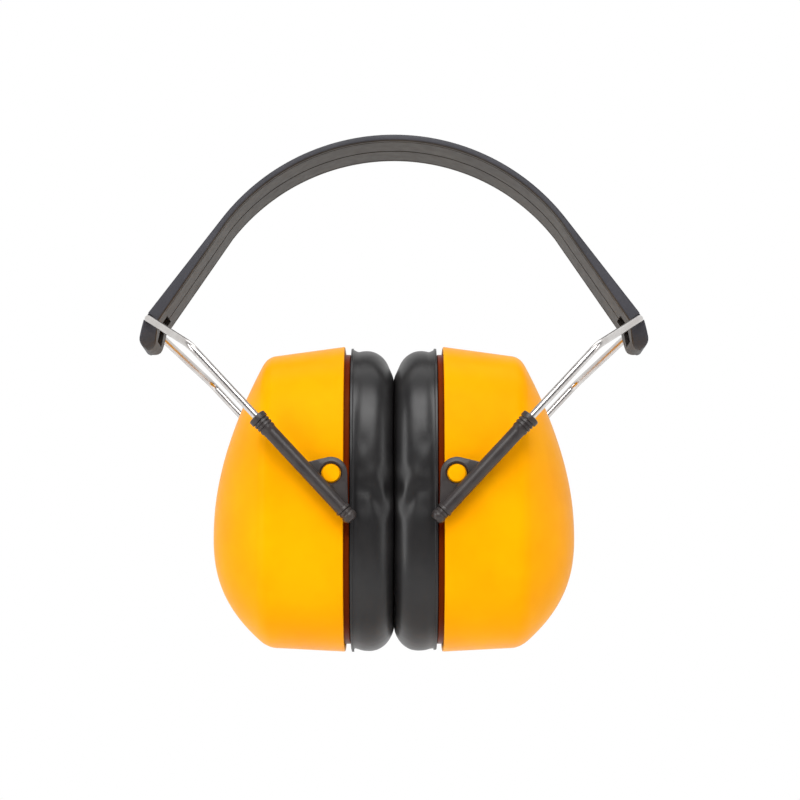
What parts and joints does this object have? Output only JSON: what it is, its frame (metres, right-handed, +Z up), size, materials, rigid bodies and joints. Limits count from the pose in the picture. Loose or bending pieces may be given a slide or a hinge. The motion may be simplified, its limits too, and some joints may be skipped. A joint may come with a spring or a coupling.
{
  "type": "hearing protection earmuffs",
  "caption": "Folding hearing protection earmuffs: black sprung headband, plated wire yokes with slider brackets, yellow domed cups and black vinyl cushions.",
  "frame": {"origin": "bottom centre, on the surface that the two cups stand on, midway between the cups", "axes": "+Z up through the top of the headband, -Y to the front, +X to the right seen from the front; the hinge axes run along Y"},
  "size_m": [0.1768, 0.0982, 0.1795],
  "materials": {
    "band_plastic": "satin moulded black nylon",
    "spring_wire": "bright plated spring wire",
    "bracket_plastic": "satin moulded black plastic",
    "cup_plastic": "satin moulded yellow ABS",
    "seat_plastic": "satin moulded yellow ABS, in the cup's shade",
    "acoustic_foam": "open-cell foam",
    "plate_plastic": "matte moulded plastic",
    "cushion_foam": "soft foam",
    "cushion_vinyl": "smooth black vinyl, satin gloss"
  },
  "bodies": {
    "headband": {"headband": "band_plastic"},
    "left_yoke": {"left_wire_yoke": "spring_wire", "left_front_end_cap": "bracket_plastic", "left_rear_end_cap": "bracket_plastic"},
    "left_slider": {"left_front_slider": "bracket_plastic", "left_rear_slider": "bracket_plastic"},
    "left_cup": {"left_cup_shell": "cup_plastic", "left_seat_ring": "seat_plastic", "left_foam_liner": "acoustic_foam", "left_cushion_plate": "plate_plastic", "left_cushion_foam": "cushion_foam", "left_cushion_cover": "cushion_vinyl"},
    "right_yoke": {"right_wire_yoke": "spring_wire", "right_front_end_cap": "bracket_plastic", "right_rear_end_cap": "bracket_plastic"},
    "right_slider": {"right_front_slider": "bracket_plastic", "right_rear_slider": "bracket_plastic"},
    "right_cup": {"right_cup_shell": "cup_plastic", "right_seat_ring": "seat_plastic", "right_foam_liner": "acoustic_foam", "right_cushion_plate": "plate_plastic", "right_cushion_foam": "cushion_foam", "right_cushion_cover": "cushion_vinyl"}
  },
  "joints": [
    {"name": "left_yoke_swing", "type": "hinge", "parent": "headband", "child": "left_yoke", "pos_m": [-0.085, 0, 0.114], "axis": [0, 1, 0], "range_deg": [0, 55]},
    {"name": "left_height_slide", "type": "slide", "parent": "left_yoke", "child": "left_slider", "axis": [-0.6814, 0, 0.7319], "range_m": [0, 0.02]},
    {"name": "left_cup_tilt", "type": "hinge", "parent": "left_slider", "child": "left_cup", "pos_m": [-0.02076, 0, 0.05725], "axis": [0, 1, 0], "range_deg": [-55, 0]},
    {"name": "right_yoke_swing", "type": "hinge", "parent": "headband", "child": "right_yoke", "pos_m": [0.085, 0, 0.114], "axis": [0, -1, 0], "range_deg": [0, 55]},
    {"name": "right_height_slide", "type": "slide", "parent": "right_yoke", "child": "right_slider", "axis": [0.6814, 0, 0.7319], "range_m": [0, 0.02]},
    {"name": "right_cup_tilt", "type": "hinge", "parent": "right_slider", "child": "right_cup", "pos_m": [0.02076, 0, 0.05725], "axis": [0, -1, 0], "range_deg": [-55, 0]}
  ],
  "couplings": [
    {"joint": "left_cup_tilt", "follows": "left_yoke_swing", "ratio": -1},
    {"joint": "right_cup_tilt", "follows": "right_yoke_swing", "ratio": -1}
  ]
}
